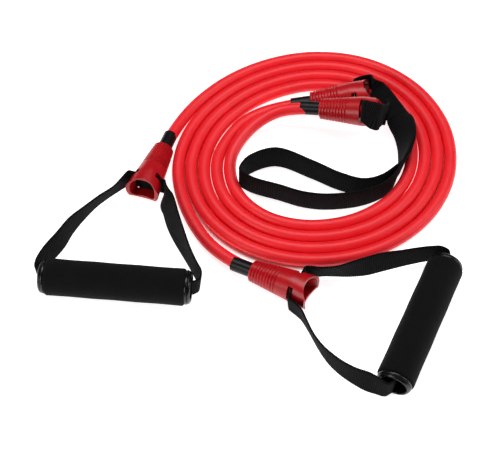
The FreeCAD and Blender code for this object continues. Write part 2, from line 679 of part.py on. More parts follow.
def main():
    os.makedirs("parts", exist_ok=True)
    left, right = left_tube_points(), right_tube_points()
    save("left_tube", tube_solid(left, "left tube"))
    save("right_tube", tube_solid(right, "right tube"))
    ends = {"left_handle": (LEFT_CONE, left), "right_handle": (RIGHT_CONE, right),
            "left_anchor": (LEFT_ANCHOR_CONE, left[::-1]), "right_anchor": (RIGHT_ANCHOR_CONE, right[::-1])}
    cone = connector_solid()
    for name, (place, points) in ends.items():
        save(name + "_sleeve", sleeve_solid(points))
        save(name + "_plug", plug_solid(points[0], points[0] - points[1]))
        save(name + "_connector", placed(cone, frame_at(place)))
    crossing = crossing_solid()
    save("left_web_crossing", placed(crossing, frame_at(LEFT_CONE)))
    save("right_web_crossing", placed(crossing, frame_at(RIGHT_CONE)))
    save("left_handle_web", handle_web(LEFT_CONE, LEFT_GRIP, -1, LEFT_OUTER_TURN, LEFT_OUTER_LEG,
                                       LEFT_INNER_TURN, LEFT_INNER_LEG, 1))
    save("right_handle_web", handle_web(RIGHT_CONE, RIGHT_GRIP, 1, RIGHT_UPPER_TURN, RIGHT_UPPER_LEG,
                                        RIGHT_LOWER_TURN, RIGHT_LOWER_LEG, -1))
    save("anchor_strap_head", anchor_head())
    save("anchor_strap_loop", anchor_loop())
    for name, grip in (("left", LEFT_GRIP), ("right", RIGHT_GRIP)):
        save(name + "_foam_grip", foam_solid(grip))
        save(name + "_core_tube", core_solid(grip))
    save("left_handle_outer_bushing", bushing_solid(LEFT_GRIP, -1))
    save("left_handle_inner_bushing", bushing_solid(LEFT_GRIP, 1))
    save("right_handle_near_bushing", bushing_solid(RIGHT_GRIP, -1))
    save("right_handle_far_bushing", bushing_solid(RIGHT_GRIP, 1))


main()
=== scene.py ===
# %% [markdown]
# # A coiled resistance band, dressed for the camera
#
# The object is two elastic tubes wound together in one flat coil. Each outer end goes into a red ribbed
# connector with a foam handle on black webbing, and the two inner ends meet at a long webbing strap.
# The imported model gives every piece its place, so this lesson starts by loading it.

# %% Load the model
import math

import bmesh
import bpy
from mathutils import Matrix, Vector


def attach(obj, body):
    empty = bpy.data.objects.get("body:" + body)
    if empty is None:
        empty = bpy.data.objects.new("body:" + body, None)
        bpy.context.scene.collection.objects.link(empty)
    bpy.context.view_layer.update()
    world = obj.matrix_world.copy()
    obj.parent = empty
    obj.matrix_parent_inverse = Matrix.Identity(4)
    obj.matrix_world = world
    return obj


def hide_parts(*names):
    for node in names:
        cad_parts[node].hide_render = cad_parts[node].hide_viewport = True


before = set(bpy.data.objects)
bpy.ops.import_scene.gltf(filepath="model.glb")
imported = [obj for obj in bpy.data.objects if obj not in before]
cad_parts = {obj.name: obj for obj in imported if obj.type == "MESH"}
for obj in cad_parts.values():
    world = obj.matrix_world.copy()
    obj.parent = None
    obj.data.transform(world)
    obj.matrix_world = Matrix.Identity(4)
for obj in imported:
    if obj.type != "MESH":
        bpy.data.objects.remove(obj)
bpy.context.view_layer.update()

# %% [markdown]
# ## Sizes and places
#
# The sizes are in millimetres, as on a drawing, with the names that the source of the solids uses. One
# shift moves the drawing's zero to the model's base centre, and MM turns the numbers into metres.

# %% Sizes in millimetres
MM = 0.001
SHIFT = Vector((0.3, 7.0, 0.0))

TUBE_OD = 11.5
STRAND_LEAD = 24.0             # the coil closes in by two strands per turn
COIL_CENTRE = (61.0, 71.0)
COIL_RADIUS = 134.2            # middle of the outermost strand
COIL_OVAL = (6.6, 26.0)        # how far the outline is oval, and in which direction in degrees
COIL_TRIANGLE = (1.0, -45.0)
COIL_STEP = 24.0               # degrees between the points of a turn
TUBE_IN = 6.0                  # tube end behind the neck's face

CONE_BODY = 39.2               # connector, from neck to side slots
SLOT_LENGTH = 4.8
WING_HALF = 15.8
FREE_GAP = 0.35

WEB_WIDTH = 24.6
WEB_THICK = 1.9
CROSS_WIDTH = 19.0             # webbing gathered inside a connector
WEB_BEND = 1.9                 # radius of a fold
BORE_WEB = 21.0                # webbing cupped inside a grip
LAP_HALF = 23.0                # half the length where the webbing's ends lie doubled in a grip
CUT_GAP = 0.3                  # between two lengths that turn against each other
SLOT_X = CONE_BODY + SLOT_LENGTH - WEB_THICK / 2
SLOT_Y = WING_HALF + FREE_GAP

FOAM_OD = 32.0
FOAM_LENGTH = 120.0
FOAM_EDGE = 2.5
CORE_OD = 26.0
BUSH_RING = 2.3
BUSH_LIP = 2.7
GRIP_REACH = FOAM_LENGTH / 2 + BUSH_RING + BUSH_LIP

# %% [markdown]
# A connector's place is the point at its neck, the direction of its mouth and a roll about that
# direction. A grip's place is its centre and its axis. Each gets a matrix that carries the piece's own
# millimetres into the scene, so a piece can be drawn lying along its own X axis.

# %% Places of the connectors and grips
LEFT_CONE = ((-80.2, 78.0, 10.2), (-0.300, -0.945, 0.105), 0.0)
RIGHT_CONE = ((2.2, -54.4, 10.2), (0.888, -0.460, 0.105), 0.0)
LEFT_ANCHOR_CONE = ((58.3, 132.9, 12.4), (0.982, 0.030, 0.178), -10.0)
RIGHT_ANCHOR_CONE = ((66.3, 114.0, 25.5), (0.953, -0.243, 0.198), -52.0)
LEFT_GRIP = ((-114.5, -69.3, 16.0), (0.996, -0.090, 0.0))
RIGHT_GRIP = ((142.5, -108.0, 16.0), (0.427, 0.904, 0.0))


def own_axes(direction, roll):
    """Turn from a piece's own axes, X along the direction, to the drawing's; roll is in degrees."""
    x = Vector(direction).normalized()
    y = Vector((0, 0, 1)).cross(x).normalized()
    turn = Matrix.Rotation(math.radians(roll), 3, x)
    return Matrix((x, turn @ y, turn @ x.cross(y))).transposed()


def drawing_place(place):
    """Matrix from a piece's own millimetres to the drawing's millimetres."""
    point, direction, roll = place if len(place) == 3 else (place[0], place[1], 0.0)
    return Matrix.Translation(Vector(point)) @ own_axes(direction, roll).to_4x4()


TO_SCENE = Matrix.Scale(MM, 4) @ Matrix.Translation(SHIFT)
print("left connector neck", TO_SCENE @ drawing_place(LEFT_CONE).translation)

# %% [markdown]
# ## Camera
#
# The photograph looks down on the coil from the front. The vertical angle and distance come from the
# round coil, which the camera sees as an oval, and from the known length of the grips.

# %% Camera
camera_data = bpy.data.cameras.new("camera")
camera_data.lens = 81.27
camera_data.sensor_width = 36.0
camera = bpy.data.objects.new("camera", camera_data)
camera.location = (0.0003, -0.559, 0.8412)
camera.rotation_euler = (math.radians(33.93), 0.0, 0.0)
bpy.context.scene.collection.objects.link(camera)
bpy.context.scene.camera = camera
print("camera", tuple(camera.location))

# %% [markdown]
# ## The elastic tubes
#
# The tubes are soft rubber hose that keeps the coil it was packed in. Each one is a single open NURBS
# curve with a round bevel: its control points are the turns of the coil, worked out by a loop, and a few
# listed where the tube runs into its connectors. Two tubes lie in turn, so one tube's turns
# close in by two strands each time round. The thickness is kept as each point's radius, with a bevel of
# one metre to multiply it, because Blender grows a curve's box by that radius.

# %% Control points of the tubes
LEFT_TURNS = (160.6 - COIL_STEP, 29)     # direction of the first point in degrees, number of points
RIGHT_TURNS = (208.6, 32)
LEFT_RUNS = (-38.0, -28.0)               # last point before the handle connector and the anchor connector
RIGHT_RUNS = (-33.0, -30.0)
LEFT_INNER = [(-22.3, 92.6, 5.75), (-3.5, 118.5, 5.75)]
RIGHT_INNER = [(-10.4, 89.6, 9.8), (10.6, 111.3, 14.4)]


def coil_outline(theta):
    """Radius of the outermost turn, a circle pressed a little out of round."""
    oval, oval_dir = COIL_OVAL
    tri, tri_dir = COIL_TRIANGLE
    return (COIL_RADIUS + oval * math.cos(math.radians(2 * (theta - oval_dir)))
            + tri * math.cos(math.radians(3 * (theta - tri_dir))))


def coil_points(first, count, lag):
    """Points of one tube's turns, clockwise, on the floor."""
    points = []
    stretch = 1.0 / math.cos(math.radians(COIL_STEP / 2))
    for i in range(count):
        theta = first - COIL_STEP * i
        radius = coil_outline(theta) - STRAND_LEAD * (180.0 - theta + lag) / 360.0
        points.append(Vector((COIL_CENTRE[0] + radius * stretch * math.cos(math.radians(theta)),
                              COIL_CENTRE[1] + radius * stretch * math.sin(math.radians(theta)),
                              TUBE_OD / 2)))
    return points


def on_axis(place, x):
    """Point on a connector's axis, x millimetres from its neck."""
    return drawing_place(place) @ Vector((x, 0, 0))


def tube_route(cone, anchor_cone, turns, lag, inner, runs):
    """From the handle connector round the coil to the anchor connector."""
    route = [on_axis(cone, TUBE_IN), on_axis(cone, runs[0])]
    route += coil_points(*turns, lag) + [Vector(p) for p in inner]
    return route + [on_axis(anchor_cone, runs[1]), on_axis(anchor_cone, TUBE_IN)]


left_route = tube_route(LEFT_CONE, LEFT_ANCHOR_CONE, LEFT_TURNS, 0.0, LEFT_INNER, LEFT_RUNS)
right_route = tube_route(RIGHT_CONE, RIGHT_ANCHOR_CONE, RIGHT_TURNS, 180.0, RIGHT_INNER, RIGHT_RUNS)
print("control points", len(left_route), len(right_route))

# %% Draw each tube as one curve


def tube_curve(name, route, node):
    """One tube as a bevelled curve; its length is in metres."""
    curve = bpy.data.curves.new(name, "CURVE")
    curve.dimensions = "3D"
    curve.resolution_u = 10
    curve.bevel_depth = 1.0
    curve.bevel_resolution = 7
    curve.use_fill_caps = True
    spline = curve.splines.new("NURBS")
    spline.points.add(len(route) - 1)
    for point, place in zip(spline.points, route):
        point.co = (*(TO_SCENE @ place), 1.0)
        point.radius = TUBE_OD / 2 * MM
    spline.order_u = 3
    spline.use_endpoint_u = True
    tube = bpy.data.objects.new(name, curve)
    bpy.context.scene.collection.objects.link(tube)
    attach(tube, "coil")
    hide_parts(node)
    print(name, "curve length", round(spline.calc_length(), 4))
    return tube


left_tube = tube_curve("left_elastic_tube", left_route, "left_tube")
right_tube = tube_curve("right_elastic_tube", right_route, "right_tube")

# %% [markdown]
# ## A small kit for materials
#
# Every finish below is built from shader nodes. One function turns a hex colour into the linear numbers
# that a shader wants, one adds a node with its settings and links, and one starts a material from the
# Principled shader with the values that are the same all over the surface. In a node's links, a name
# stands for the input of that name, and i with a number for the input at that place.

# %% Colour, node and material helpers


def hex_colour(text):
    """sRGB hex to linear RGBA."""
    channels = [int(text[i:i + 2], 16) / 255 for i in (1, 3, 5)]
    return (*[c / 12.92 if c <= 0.04045 else ((c + 0.055) / 1.055) ** 2.4 for c in channels], 1.0)


def add_node(material, kind, settings=None, **links):
    """Add a node: settings set its own properties, links set or join its inputs by name."""
    node = material.node_tree.nodes.new(kind)
    for key, value in (settings or {}).items():
        setattr(node, key, value)
    for key, value in links.items():
        numbered = key[0] == "i" and key[1:].isdigit()
        socket = node.inputs[int(key[1:]) if numbered else key.replace("_", " ")]
        if isinstance(value, bpy.types.NodeSocket):
            material.node_tree.links.new(value, socket)
        else:
            socket.default_value = value
    return node


def new_finish(name, **values):
    """A material with one Principled shader, ready for its patterns."""
    material = bpy.data.materials.new(name)
    material.use_nodes = True
    shader = material.node_tree.nodes["Principled BSDF"]
    for key, value in values.items():
        shader.inputs[key.replace("_", " ")].default_value = value
    return material, shader


def join(material, output, shader, name):
    """Link a pattern to one of the shader's inputs."""
    material.node_tree.links.new(output, shader.inputs[name])


def wear(piece, material):
    """Give a piece its one material."""
    piece.data.materials.clear()
    piece.data.materials.append(material)


print("red of the tubes", hex_colour("#F0202A"))

# %% [markdown]
# ## Extruded latex tube
#
# The tube is bright red latex, extruded and lightly dusted so that it does not stick. To the eye it is a
# saturated red with a broad soft shine, and a little light goes through its skin. A noise with clouds of
# nearly 20 mm, read on the piece's own coordinates, varies the red and the shine very slightly, as dust
# does; a much finer one, about a millimetre, gives the skin its unevenness.

# %% Tube material
latex, latex_shader = new_finish("red_latex_tube", Roughness=0.42, IOR=1.52, Specular_IOR_Level=0.32,
                                 Subsurface_Weight=0.12, Subsurface_Scale=0.004)
latex_shader.inputs["Subsurface Radius"].default_value = (1.0, 0.12, 0.08)
place = add_node(latex, "ShaderNodeTexCoord").outputs["Object"]
bloom = add_node(latex, "ShaderNodeTexNoise", Vector=place, Scale=55.0, Detail=4.0, Roughness=0.6)
tone = add_node(latex, "ShaderNodeValToRGB", i0=bloom.outputs["Fac"])
tone.color_ramp.elements[0].position = 0.35
tone.color_ramp.elements[0].color = hex_colour("#F0202A")
tone.color_ramp.elements[1].position = 0.7
tone.color_ramp.elements[1].color = hex_colour("#F7252F")
join(latex, tone.outputs["Color"], latex_shader, "Base Color")
skin = add_node(latex, "ShaderNodeTexNoise", Vector=place, Scale=900.0, Detail=3.0)
skin_bump = add_node(latex, "ShaderNodeBump", Strength=0.12, Distance=0.0003, Height=skin.outputs["Fac"])
join(latex, skin_bump.outputs["Normal"], latex_shader, "Normal")
dust = add_node(latex, "ShaderNodeMapRange", i0=bloom.outputs["Fac"], i1=0.3, i2=0.75, i3=0.41, i4=0.45)
join(latex, dust.outputs["Result"], latex_shader, "Roughness")
wear(left_tube, latex)
wear(right_tube, latex)
print("made", latex.name)

# %% [markdown]
# ## Moulded connectors
#
# A connector is one injection moulding: a cone with shallow grip rings, two side slots for the webbing
# and two wings at its mouth. Its exact shape is already in the model, where the mesh is loose triangles,
# so a copy is merged, its faces are told to shade smoothly, and only edges that turn sharply stay sharp.
# The same helper serves the other hard pieces. Where a piece has a cut edge, a Bevel modifier rounds it.

# %% Copy a solid's mesh for shading
WELD = 0.004 * MM        # corners closer than this are one corner
NEEDLE = 0.002 * MM      # edges shorter than this go


def shade_smoothly(work, angle):
    """Smooth faces, with only the edges that turn by more than the angle left sharp."""
    for face in work.faces:
        face.smooth = True
    for rim in work.edges:
        rim.smooth = rim.calc_face_angle(0.0) < math.radians(angle)


def add_piece(name, work):
    """Make a finished bmesh an object at the origin."""
    mesh = bpy.data.meshes.new(name)
    work.to_mesh(mesh)
    work.free()
    piece = bpy.data.objects.new(name, mesh)
    bpy.context.scene.collection.objects.link(piece)
    return piece


def moulded_copy(node, body, name, material, angle=32.0, edge=0.0):
    """The node's own shape, merged and shaded; edge is the radius of its rounded edges."""
    work = bmesh.new()
    work.from_mesh(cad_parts[node].data)
    bmesh.ops.remove_doubles(work, verts=work.verts, dist=WELD)
    bmesh.ops.dissolve_degenerate(work, edges=work.edges, dist=NEEDLE)
    shade_smoothly(work, angle)
    piece = add_piece(name, work)
    if edge:
        round_edges = piece.modifiers.new("round_edges", "BEVEL")
        round_edges.width = edge * MM
        round_edges.segments = 2
        round_edges.limit_method = "ANGLE"
        round_edges.angle_limit = math.radians(angle)
    wear(piece, material)
    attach(piece, body)
    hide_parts(node)
    return piece


# %% [markdown]
# The connectors are a darker, harder red than the tubes: polypropylene with a fine spark-eroded grain
# from the mould. The grain is about a third of a millimetre, which gives small broken highlights, and a
# thin clear coat stands for the skin that the polished parts of the mould leave.

# %% Connector material and pieces
moulded_red, moulded_shader = new_finish("moulded_red_polypropylene", Roughness=0.34, IOR=1.49,
                                         Specular_IOR_Level=0.3, Coat_Weight=0.12, Coat_Roughness=0.12)
place = add_node(moulded_red, "ShaderNodeTexCoord").outputs["Object"]
flow = add_node(moulded_red, "ShaderNodeTexNoise", Vector=place, Scale=120.0, Detail=3.0)
tone = add_node(moulded_red, "ShaderNodeValToRGB", i0=flow.outputs["Fac"])
tone.color_ramp.elements[0].position = 0.3
tone.color_ramp.elements[0].color = hex_colour("#AC0712")
tone.color_ramp.elements[1].position = 0.7
tone.color_ramp.elements[1].color = hex_colour("#BE0C18")
join(moulded_red, tone.outputs["Color"], moulded_shader, "Base Color")
grain = add_node(moulded_red, "ShaderNodeTexNoise", Vector=place, Scale=2600.0, Detail=2.0)
grain_bump = add_node(moulded_red, "ShaderNodeBump", Strength=0.25, Distance=0.0002,
                      Height=grain.outputs["Fac"])
join(moulded_red, grain_bump.outputs["Normal"], moulded_shader, "Normal")

for node, body in (("left_handle_connector", "left_connector"),
                   ("right_handle_connector", "right_connector"),
                   ("left_anchor_connector", "coil"),
                   ("right_anchor_connector", "coil")):
    shell = moulded_copy(node, body, node + "_shell", moulded_red)
    print(shell.name, len(shell.data.polygons), "faces")

# %% [markdown]
# ## Plugs and sleeves
#
# A plug of bright red nylon sits in each tube end, where the side slots show a little of it. A black
# sleeve covers the tube where it enters the neck: heat-shrink, smooth, with a soft satin shine.

# %% Plug and sleeve materials and pieces
plug_red, plug_shader = new_finish("red_nylon_plug", Roughness=0.3, IOR=1.53)
place = add_node(plug_red, "ShaderNodeTexCoord").outputs["Object"]
cloudy = add_node(plug_red, "ShaderNodeTexNoise", Vector=place, Scale=200.0)
tone = add_node(plug_red, "ShaderNodeValToRGB", i0=cloudy.outputs["Fac"])
tone.color_ramp.elements[0].color = hex_colour("#D01422")
tone.color_ramp.elements[1].color = hex_colour("#E2202E")
join(plug_red, tone.outputs["Color"], plug_shader, "Base Color")

shrink_black, shrink_shader = new_finish("black_heat_shrink", Roughness=0.36, IOR=1.5,
                                         Specular_IOR_Level=0.22)
place = add_node(shrink_black, "ShaderNodeTexCoord").outputs["Object"]
ripple = add_node(shrink_black, "ShaderNodeTexNoise", Vector=place, Scale=260.0, Detail=2.0)
tone = add_node(shrink_black, "ShaderNodeValToRGB", i0=ripple.outputs["Fac"])
tone.color_ramp.elements[0].color = hex_colour("#060607")
tone.color_ramp.elements[1].color = hex_colour("#0E0E10")
join(shrink_black, tone.outputs["Color"], shrink_shader, "Base Color")
ripple_bump = add_node(shrink_black, "ShaderNodeBump", Strength=0.05, Distance=0.0002,
                       Height=ripple.outputs["Fac"])
join(shrink_black, ripple_bump.outputs["Normal"], shrink_shader, "Normal")

for end in ("left_handle", "right_handle", "left_anchor", "right_anchor"):
    moulded_copy(end + "_plug", "coil", end + "_stop", plug_red)
    moulded_copy(end + "_sleeve", "coil", end + "_cuff", shrink_black, edge=0.3)
print("plugs and sleeves done")

# %% [markdown]
# ## Foam grips
#
# The grip is a tube of closed-cell foam, cut to length and pushed over a hard core. It is nearly black,
# quite matt, with rounded lips where the cut foam bulges over the end ring. One profile, spun about the
# axis, makes it; the cells are under a millimetre and show only as a broken surface. Soft waves of a
# tenth of a millimetre keep its long side from looking turned.

# %% Foam material
foam_black, foam_shader = new_finish("black_nitrile_foam", Roughness=0.9, IOR=1.45, Sheen_Weight=0.02,
                                     Sheen_Roughness=0.6, Specular_IOR_Level=0.16)
place = add_node(foam_black, "ShaderNodeTexCoord").outputs["Object"]
cells = add_node(foam_black, "ShaderNodeTexVoronoi", Vector=place, Scale=1300.0)
patch = add_node(foam_black, "ShaderNodeTexNoise", Vector=place, Scale=70.0, Detail=5.0)
tone = add_node(foam_black, "ShaderNodeValToRGB", i0=patch.outputs["Fac"])
tone.color_ramp.elements[0].position = 0.3
tone.color_ramp.elements[0].color = hex_colour("#060607")
tone.color_ramp.elements[1].position = 0.75
tone.color_ramp.elements[1].color = hex_colour("#0A0A0C")
join(foam_black, tone.outputs["Color"], foam_shader, "Base Color")
cell_bump = add_node(foam_black, "ShaderNodeBump", Strength=0.5, Distance=0.0003,
                     Height=cells.outputs["Distance"])
join(foam_black, cell_bump.outputs["Normal"], foam_shader, "Normal")
print("made", foam_black.name)

# %% Spin a profile about a grip's axis


def spun_piece(name, profile, place, steps=72):
    """Closed ring of revolution: profile points are (along the axis, radius) in millimetres."""
    work = bmesh.new()
    ring = [work.verts.new((a, 0.0, r)) for a, r in profile]
    edges = [work.edges.new((ring[i], ring[(i + 1) % len(ring)])) for i in range(len(ring))]
    bmesh.ops.spin(work, geom=ring + edges, cent=(0, 0, 0), axis=(1, 0, 0), angle=math.tau, steps=steps,
                   use_merge=True)
    bmesh.ops.remove_doubles(work, verts=work.verts, dist=0.001)
    bmesh.ops.recalc_face_normals(work, faces=work.faces)
    shade_smoothly(work, 35.0)
    bmesh.ops.transform(work, matrix=TO_SCENE @ drawing_place(place), verts=work.verts)
    return add_piece(name, work)


def foam_profile():
    """Half of the foam's section: rounded ends and a long side with slight waves."""
    half, radius, edge = FOAM_LENGTH / 2, FOAM_OD / 2, FOAM_EDGE
    end_dip, wave, quarter, parts = 0.4, 0.12, 8, 12
    profile = [(-half + end_dip, CORE_OD / 2)]
    for i in range(quarter + 1):
        a = math.radians(180 - 90 * i / quarter)
        profile.append((-half + edge + edge * math.cos(a), radius - edge + edge * math.sin(a)))
    for i in range(1, parts):
        x = -half + edge + (FOAM_LENGTH - 2 * edge) * i / parts
        profile.append((x, radius - wave + wave * math.cos(math.tau * i / 4)))
    for i in range(quarter + 1):
        a = math.radians(90 - 90 * i / quarter)
        profile.append((half - edge + edge * math.cos(a), radius - edge + edge * math.sin(a)))
    profile.append((half - end_dip, CORE_OD / 2))
    return profile


for side, grip in (("left", LEFT_GRIP), ("right", RIGHT_GRIP)):
    foam = spun_piece(side + "_foam_sleeve", foam_profile(), grip)
    wear(foam, foam_black)
    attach(foam, side + "_grip")
    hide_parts(side + "_foam_grip")
    print(foam.name, len(foam.data.polygons), "faces")

# %% [markdown]
# The end rings are glossy black ABS with a rounded lip that the webbing slides over, rubbed dull in
# places, and the core inside is an extruded tube of the same stuff.

# %% End rings and cores
gloss_black, gloss_shader = new_finish("glossy_black_abs", Roughness=0.25, IOR=1.54,
                                       Specular_IOR_Level=0.35)
place = add_node(gloss_black, "ShaderNodeTexCoord").outputs["Object"]
rub = add_node(gloss_black, "ShaderNodeTexNoise", Vector=place, Scale=400.0, Detail=4.0)
scuffs = add_node(gloss_black, "ShaderNodeMapRange", i0=rub.outputs["Fac"], i1=0.4, i2=0.7,
                  i3=0.2, i4=0.36)
join(gloss_black, scuffs.outputs["Result"], gloss_shader, "Roughness")
tone = add_node(gloss_black, "ShaderNodeValToRGB", i0=rub.outputs["Fac"])
tone.color_ramp.elements[0].color = hex_colour("#070708")
tone.color_ramp.elements[1].color = hex_colour("#101012")
join(gloss_black, tone.outputs["Color"], gloss_shader, "Base Color")

for node, body in (("left_handle_outer_bushing", "left_grip"),
                   ("left_handle_inner_bushing", "left_grip"),
                   ("right_handle_near_bushing", "right_grip"),
                   ("right_handle_far_bushing", "right_grip")):
    moulded_copy(node, body, node + "_ring", gloss_black, angle=50.0)
for side in ("left", "right"):
    moulded_copy(side + "_core_tube", side + "_grip", side + "_core", gloss_black)
print("rings and cores done")

# %% [markdown]
# ## Webbing
#
# The straps are woven polypropylene webbing, 25 mm wide and about 2 mm thick, with round woven edges. A
# strap is drawn as its real cross-section, a flat oval, carried from station to station: each station is
# a point, the direction of the strap's width, and its width and thickness. The section's edges are
# extruded once per half rib and set in place, every other one a little smaller, so the ribs across the
# strap and its toothed edges are in the mesh. That also keeps the weave's coordinates true: U runs along
# the strap and V across it, both in millimetres.

# %% Smooth stations and the webbing builder
RIB_PITCH = 1.7
RIB_DEPTH = 0.24         # taken from the width and from the thickness in a groove


def catmull(p, steps):
    """Smooth points through a list of tuples; steps is one number or one per gap."""
    out = []
    n = len(p)
    for i in range(n - 1):
        p0 = p[i - 1] if i > 0 else tuple(2 * a - b for a, b in zip(p[0], p[1]))
        p1, p2 = p[i], p[i + 1]
        p3 = p[i + 2] if i + 2 < n else tuple(2 * a - b for a, b in zip(p[-1], p[-2]))
        pairs = ((p0, p1), (p1, p2), (p2, p3))
        t01, t12, t23 = [math.sqrt(math.dist(a[:3], b[:3])) or 1.0 for a, b in pairs]
        count = steps[i] if isinstance(steps, list) else steps
        for k in range(count):
            u = k / count
            row = []
            for a, b, c, d in zip(p0, p1, p2, p3):
                m1 = (c - b) + t12 * ((b - a) / t01 - (c - a) / (t01 + t12))
                m2 = (c - b) + t12 * ((d - c) / t23 - (d - b) / (t12 + t23))
                row.append((2 * u ** 3 - 3 * u ** 2 + 1) * b + (u ** 3 - 2 * u ** 2 + u) * m1
                           + (3 * u ** 2 - 2 * u ** 3) * c + (u ** 3 - u ** 2) * m2)
            out.append(tuple(row))
    out.append(tuple(p[-1]))
    return out


def even_steps(stations, step):
    """The same strap with its stations about one step apart all along."""
    marks = [0.0]
    for a, b in zip(stations, stations[1:]):
        marks.append(marks[-1] + math.dist(a[:3], b[:3]))
    count = round(marks[-1] / step)
    out, i = [], 0
    for k in range(count + 1):
        at = marks[-1] * k / count
        while i < len(marks) - 2 and marks[i + 1] < at:
            i += 1
        share = (at - marks[i]) / (marks[i + 1] - marks[i])
        out.append(tuple(a + (b - a) * share for a, b in zip(stations[i], stations[i + 1])))
    return out


def strap_section(width, thick):
    """Points (across, through) round the webbing's section, flat with round edges."""
    half, r = width / 2, thick / 2
    side = [(x / 4 * (half - r), r) for x in range(-4, 5)]
    side += [(half - r * 0.3, r * 0.72), (half, 0.0), (half - r * 0.3, -r * 0.72)]
    return side + [(-a, -b) for a, b in side]


def station_axes(stations, i, ends):
    """Centre, width direction and normal of the strap at one station."""
    n = len(stations)
    along = Vector(stations[min(i + 1, n - 1)][:3]) - Vector(stations[max(i - 1, 0)][:3])
    if i == 0 and ends and ends[0]:
        along = Vector(ends[0])
    if i == n - 1 and ends and ends[1]:
        along = Vector(ends[1])
    along.normalize()
    across = Vector(stations[i][3:6])
    across = (across - along * across.dot(along)).normalized()
    return Vector(stations[i][:3]), across, along.cross(across)


def webbing(name, stations, ends=None):
    """Mesh of one strap through its stations."""
    work = bmesh.new()
    uv = work.loops.layers.uv.new("weave")
    u_mm = work.verts.layers.float.new("u")
    v_mm = work.verts.layers.float.new("v")
    number = work.verts.layers.int.new("number")
    count = len(strap_section(1, 1))
    ring = [work.verts.new((0, 0, 0)) for _ in range(count)]
    edges = [work.edges.new((ring[k], ring[(k + 1) % count])) for k in range(count)]
    for k, vert in enumerate(ring):
        vert[number] = k
    first, length, before = list(edges), 0.0, None
    stations = even_steps(stations, RIB_PITCH / 2)
    for i, s in enumerate(stations):
        if i:
            grown = bmesh.ops.extrude_edge_only(work, edges=edges)["geom"]
            edges = [e for e in grown if isinstance(e, bmesh.types.BMEdge)]
            ring = [v for v in grown if isinstance(v, bmesh.types.BMVert)]
        centre, across, through = station_axes(stations, i, ends)
        length += (centre - before).length if before else 0.0
        before = centre
        groove = RIB_DEPTH * (i % 2)
        outline = strap_section(s[6] - groove, s[7] - groove)
        for vert in ring:
            a, b = outline[vert[number]]
            vert.co = TO_SCENE @ (centre + across * a + through * b)
            vert[u_mm] = length
            vert[v_mm] = a
    bmesh.ops.edgeloop_fill(work, edges=first)
    bmesh.ops.edgeloop_fill(work, edges=edges)
    bmesh.ops.recalc_face_normals(work, faces=work.faces)
    for face in work.faces:
        face.smooth = len(face.verts) == 4
        for loop in face.loops:
            loop[uv].uv = (loop.vert[u_mm], loop.vert[v_mm])
    piece = add_piece(name, work)
    print(name, "webbing length", round(length), "mm,", len(piece.data.polygons), "faces")
    return piece


# %% [markdown]
# The weave has cross ribs every 1.7 mm, which the photograph shows as fine lines over the strap, and
# finer warp threads along it every 0.9 mm. Both are sines of U and V, on top of the ribs in the mesh.
# Ribs catch a little light, so crests are a shade paler than grooves, and the yarn has a weak sheen.

# %% Webbing material
WARP_PITCH = 0.9
web_black, web_shader = new_finish("black_woven_webbing", Roughness=0.8, IOR=1.45, Sheen_Weight=0.015,
                                   Sheen_Roughness=0.5, Specular_IOR_Level=0.07)
weave = add_node(web_black, "ShaderNodeUVMap", {"uv_map": "weave"})
split = add_node(web_black, "ShaderNodeSeparateXYZ", Vector=weave.outputs["UV"])
rib_angle = add_node(web_black, "ShaderNodeMath", {"operation": "MULTIPLY"}, i0=split.outputs["X"],
                     i1=math.tau / RIB_PITCH)
rib = add_node(web_black, "ShaderNodeMath", {"operation": "SINE"}, i0=rib_angle.outputs[0])
warp_angle = add_node(web_black, "ShaderNodeMath", {"operation": "MULTIPLY"}, i0=split.outputs["Y"],
                      i1=math.tau / WARP_PITCH)
warp = add_node(web_black, "ShaderNodeMath", {"operation": "SINE"}, i0=warp_angle.outputs[0])
cross = add_node(web_black, "ShaderNodeMath", {"operation": "MULTIPLY"}, i0=rib.outputs[0],
                 i1=warp.outputs[0])
height = add_node(web_black, "ShaderNodeMath", {"operation": "MULTIPLY_ADD"}, i0=cross.outputs[0],
                  i1=0.35, i2=rib.outputs[0])
yarn = add_node(web_black, "ShaderNodeTexNoise", Vector=weave.outputs["UV"], Scale=0.35, Detail=4.0)
shade_in = add_node(web_black, "ShaderNodeMath", {"operation": "MULTIPLY_ADD"}, i0=yarn.outputs["Fac"],
                    i1=1.4, i2=height.outputs[0])
shade = add_node(web_black, "ShaderNodeMapRange", i0=shade_in.outputs[0], i1=-0.8, i2=2.4)
tone = add_node(web_black, "ShaderNodeValToRGB", i0=shade.outputs["Result"])
tone.color_ramp.elements[0].color = hex_colour("#020202")
tone.color_ramp.elements[1].color = hex_colour("#1B1B1D")
join(web_black, tone.outputs["Color"], web_shader, "Base Color")
weave_bump = add_node(web_black, "ShaderNodeBump", Strength=0.6, Distance=0.0003,
                      Height=height.outputs[0])
join(web_black, weave_bump.outputs["Normal"], web_shader, "Normal")
print("made", web_black.name)

# %% [markdown]
# ## Handle straps
#
# Each handle strap leaves one side slot, folds round the wing, runs down to the grip, goes through it and
# comes back to the other slot. The stations below were read from the photograph: the straps stand almost
# on edge, because the webbing comes upright out of the slots. The short crossing inside the connector is
# a piece of its own, since it stays behind when the handle folds. A turn is how far the webbing has
# folded, in degrees, when it is clear of the wing.

# %% Stations of the handle straps


def web(x, y, z, wx, wy, wz, width=WEB_WIDTH):
    """One station: a point, the direction of the width, the width and the thickness."""
    return (x, y, z, wx, wy, wz, width, WEB_THICK)


def by_grip(grip, end, beyond, aside, z, wx, wy, wz, width):
    """Station measured from the lip at one end of a grip: along its axis and to the axis's left."""
    axis = Vector(grip[1]).normalized()
    p = Vector(grip[0]) + axis * (end * (GRIP_REACH + beyond)) + Vector((-axis.y, axis.x, 0)) * aside
    return web(p.x, p.y, z, wx, wy, wz, width)


